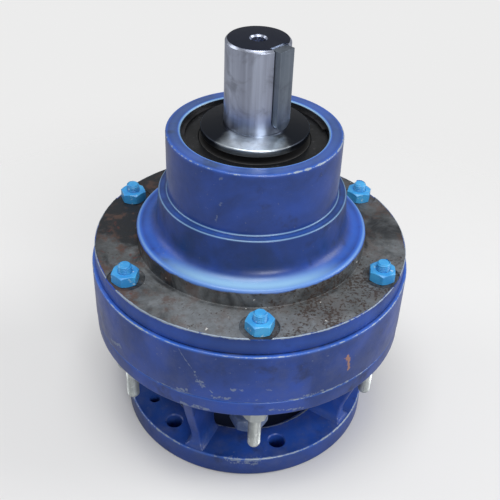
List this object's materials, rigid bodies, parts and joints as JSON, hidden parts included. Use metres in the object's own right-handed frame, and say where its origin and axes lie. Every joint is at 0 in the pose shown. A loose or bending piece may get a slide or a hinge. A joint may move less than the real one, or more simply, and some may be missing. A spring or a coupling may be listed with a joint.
{
  "type": "cycloidal reducer",
  "caption": "Cycloidal speed reducer with a ribbed motor lantern below, a ring gear case, a bolted output housing and a keyed output shaft pointing up.",
  "frame": {"origin": "centre of the motor flange's lower face, on the shaft axis", "axes": "+Z along the shafts towards the output end, -Y towards the front, +X to the right seen from the front"},
  "size_m": [0.2448, 0.2448, 0.3222],
  "materials": {
    "blue_paint": "worn gloss",
    "blue_nut_paint": "chipped gloss",
    "zinc_steel": "dull zinc plate",
    "ground_steel": "ground",
    "hardened_steel": "polished",
    "spring_steel": "oiled black",
    "cage_brass": "satin",
    "cover_iron": "oily black",
    "seal_rubber": "matte",
    "gasket_paper": "oiled fibre",
    "drain_steel": "thin paint"
  },
  "bodies": {
    "housing": {"motor_lantern": "blue_paint", "input_gasket": "gasket_paper", "ring_gear_case": "blue_paint", "output_gasket": "gasket_paper", "output_housing": "blue_paint", "through_studs": "zinc_steel", "upper_nuts": "blue_nut_paint", "lower_nuts": "zinc_steel", "drain_pipe": "drain_steel", "drain_cap": "drain_steel", "ring_pins": "hardened_steel", "ring_pin_sleeves": "hardened_steel", "input_seal": "seal_rubber", "input_bearing_housing_circlip": "spring_steel", "input_bearing_outer_ring": "hardened_steel", "input_bearing_rollers": "hardened_steel", "input_bearing_cage": "cage_brass", "lower_bearing_outer_ring": "hardened_steel", "lower_bearing_rollers": "hardened_steel", "lower_bearing_cage": "cage_brass", "upper_bearing_outer_ring": "hardened_steel", "upper_bearing_rollers": "hardened_steel", "upper_bearing_cage": "cage_brass", "seal_cover": "cover_iron", "output_seal": "seal_rubber", "seal_cover_circlip": "spring_steel"},
    "output": {"output_shaft": "ground_steel", "output_key": "hardened_steel", "carrier_pins": "hardened_steel", "carrier_rollers": "hardened_steel", "disc_spacer_ring": "hardened_steel", "bearing_spacer_tube": "ground_steel", "output_bearing_circlip": "spring_steel", "flinger_ring": "ground_steel", "lower_bearing_inner_ring": "hardened_steel", "upper_bearing_inner_ring": "hardened_steel", "pilot_bearing_outer_ring": "hardened_steel", "pilot_bearing_rollers": "hardened_steel", "pilot_bearing_cage": "cage_brass"},
    "input": {"input_shaft": "ground_steel", "eccentric_sleeve": "hardened_steel", "eccentric_key": "hardened_steel", "eccentric_circlip": "spring_steel", "input_bearing_shaft_circlip": "spring_steel", "input_bearing_inner_ring": "hardened_steel", "pilot_bearing_inner_ring": "hardened_steel", "lower_eccentric_rollers": "hardened_steel", "lower_eccentric_cage": "cage_brass", "upper_eccentric_rollers": "hardened_steel", "upper_eccentric_cage": "cage_brass"},
    "lower_disc": {"lower_cycloid_disc": "hardened_steel"},
    "upper_disc": {"upper_cycloid_disc": "hardened_steel"}
  },
  "joints": [
    {"name": "output_spin", "type": "hinge", "parent": "housing", "child": "output", "pos_m": [0, 0, 0.29], "axis": [0, 0, 1], "continuous": true},
    {"name": "input_spin", "type": "hinge", "parent": "housing", "child": "input", "pos_m": [0, 0, 0.06], "axis": [0, 0, 1], "continuous": true},
    {"name": "lower_disc_spin", "type": "hinge", "parent": "input", "child": "lower_disc", "pos_m": [0.003, 0, 0.11825], "axis": [0, 0, 1], "continuous": true},
    {"name": "upper_disc_spin", "type": "hinge", "parent": "input", "child": "upper_disc", "pos_m": [-0.003, 0, 0.13275], "axis": [0, 0, 1], "continuous": true}
  ],
  "couplings": [
    {"joint": "input_spin", "follows": "output_spin", "ratio": -17},
    {"joint": "lower_disc_spin", "follows": "output_spin", "ratio": 18},
    {"joint": "upper_disc_spin", "follows": "output_spin", "ratio": 18}
  ]
}
